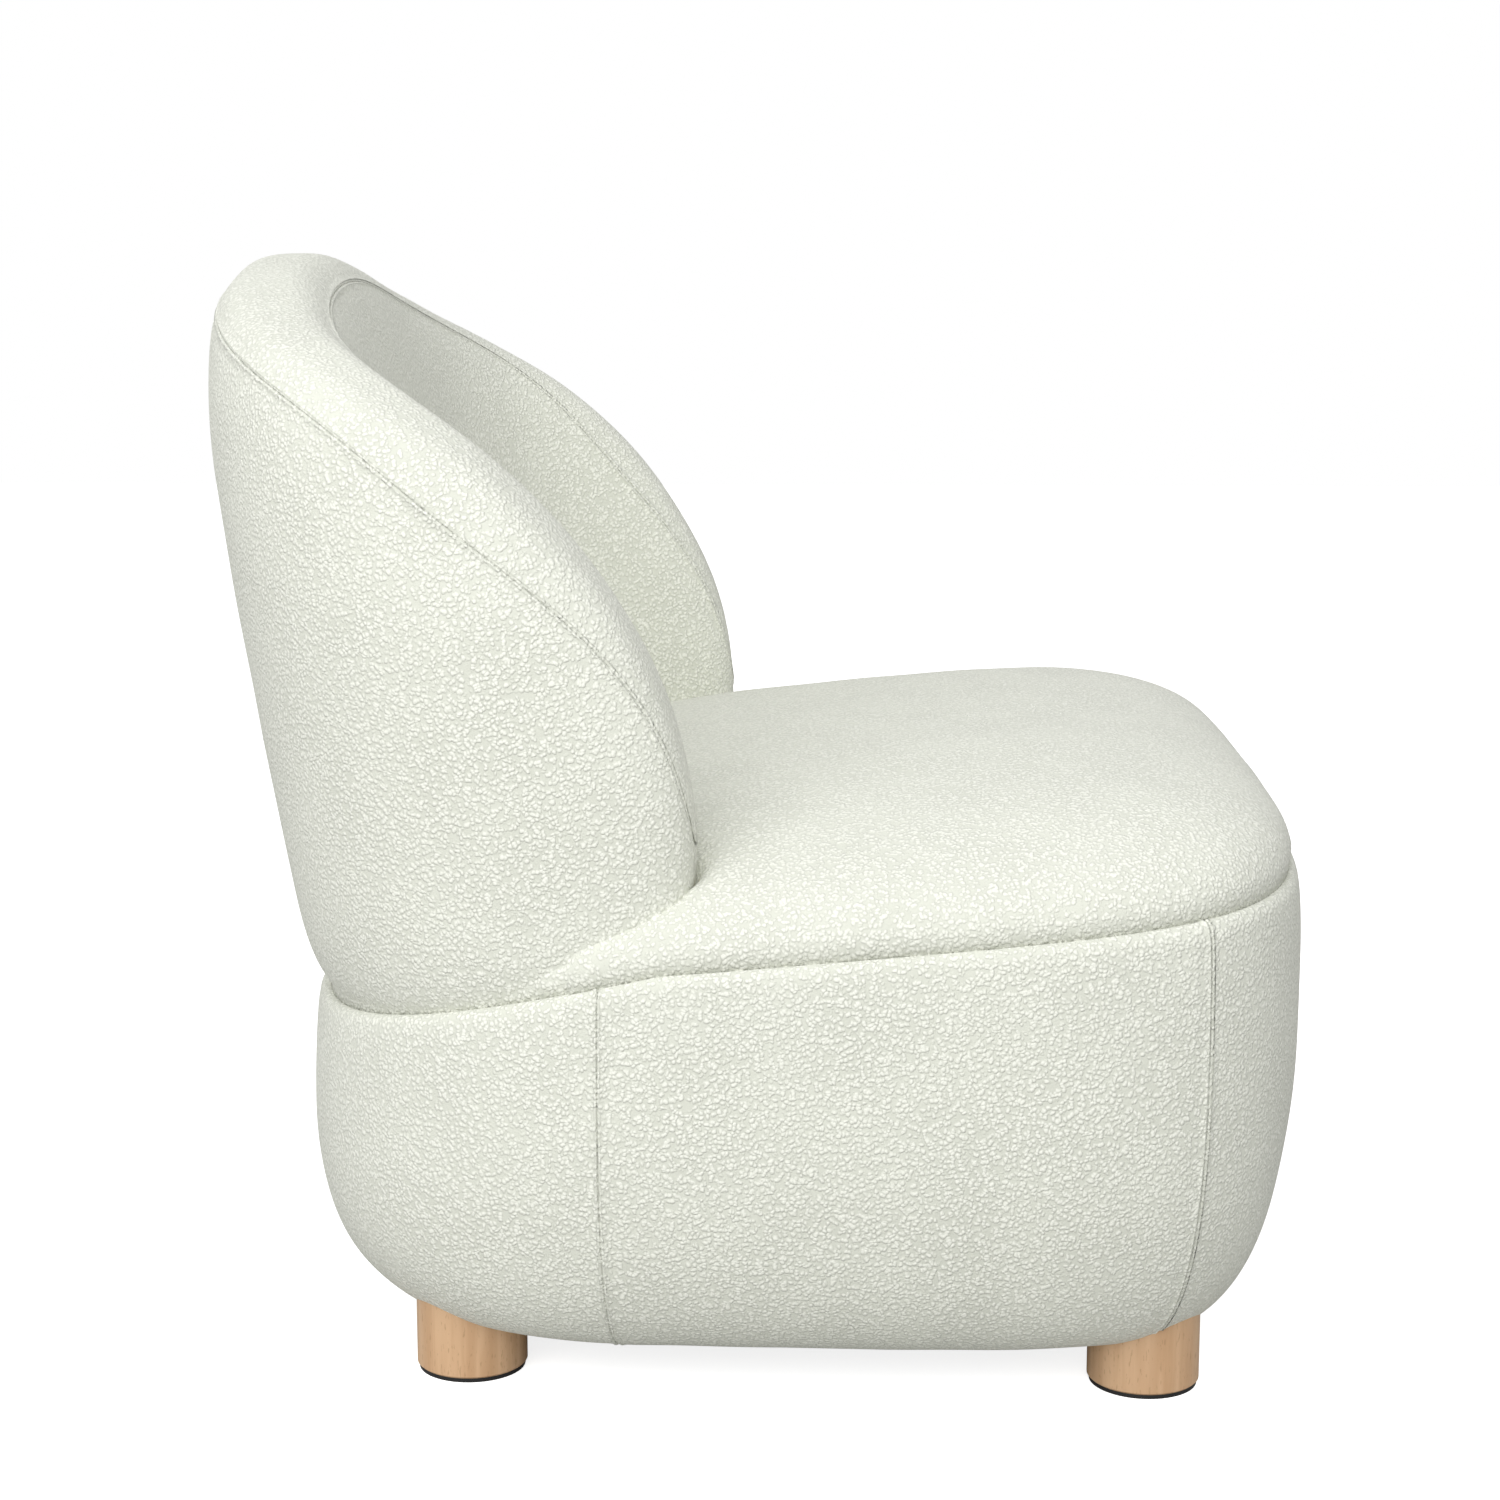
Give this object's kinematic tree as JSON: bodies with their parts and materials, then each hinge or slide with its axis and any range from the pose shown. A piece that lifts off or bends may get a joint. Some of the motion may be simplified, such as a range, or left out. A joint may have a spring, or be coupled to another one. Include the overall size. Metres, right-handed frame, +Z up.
{
  "type": "lounge chair",
  "caption": "Single-seat upholstered tub lounge chair: rounded padded base, wrap-around back with sloping wings, round wooden legs.",
  "frame": {"origin": "on the floor under the middle of the bounding box", "axes": "+Z up, front toward -Y, +X to the sitter's left"},
  "size_m": [0.84, 0.7731, 0.755],
  "materials": {
    "boucle_fabric": "looped boucle",
    "foam": "open-cell foam",
    "beech": "clear matt lacquer",
    "plywood": "raw",
    "steel": "zinc plated",
    "black_cloth": "non-woven",
    "black_plastic": "matt"
  },
  "bodies": {
    "root": {"base_plate": "plywood", "seat_plate": "plywood", "front_rail": "plywood", "rear_rail": "plywood", "left_rail": "plywood", "right_rail": "plywood", "post_left": "plywood", "post_rear_left": "plywood", "post_center": "plywood", "post_rear_right": "plywood", "post_right": "plywood", "back_lower_rib": "plywood", "back_upper_rib": "plywood", "back_board": "plywood", "frame_screws": "steel", "post_bolts": "steel", "post_nuts": "steel", "seat_spring_1": "steel", "seat_spring_2": "steel", "seat_spring_3": "steel", "seat_spring_4": "steel", "seat_spring_5": "steel", "spring_clips": "steel", "spring_cloth": "black_cloth", "seat_foam": "foam", "front_foam": "foam", "left_foam": "foam", "right_foam": "foam", "rear_foam": "foam", "back_inner_foam": "foam", "back_outer_foam": "foam", "seat_cover": "boucle_fabric", "front_cover": "boucle_fabric", "left_cover": "boucle_fabric", "right_cover": "boucle_fabric", "rear_cover": "boucle_fabric", "back_inner_cover": "boucle_fabric", "back_outer_cover": "boucle_fabric", "back_edge_cover": "boucle_fabric", "dust_cover": "black_cloth", "dust_cover_staples": "steel", "leg_front_left": "beech", "leg_front_right": "beech", "leg_rear_left": "beech", "leg_rear_right": "beech", "leg_bolts": "steel", "leg_nuts": "steel", "glide_front_left": "black_plastic", "glide_front_right": "black_plastic", "glide_rear_left": "black_plastic", "glide_rear_right": "black_plastic", "glide_nails": "steel"}
  },
  "joints": []
}
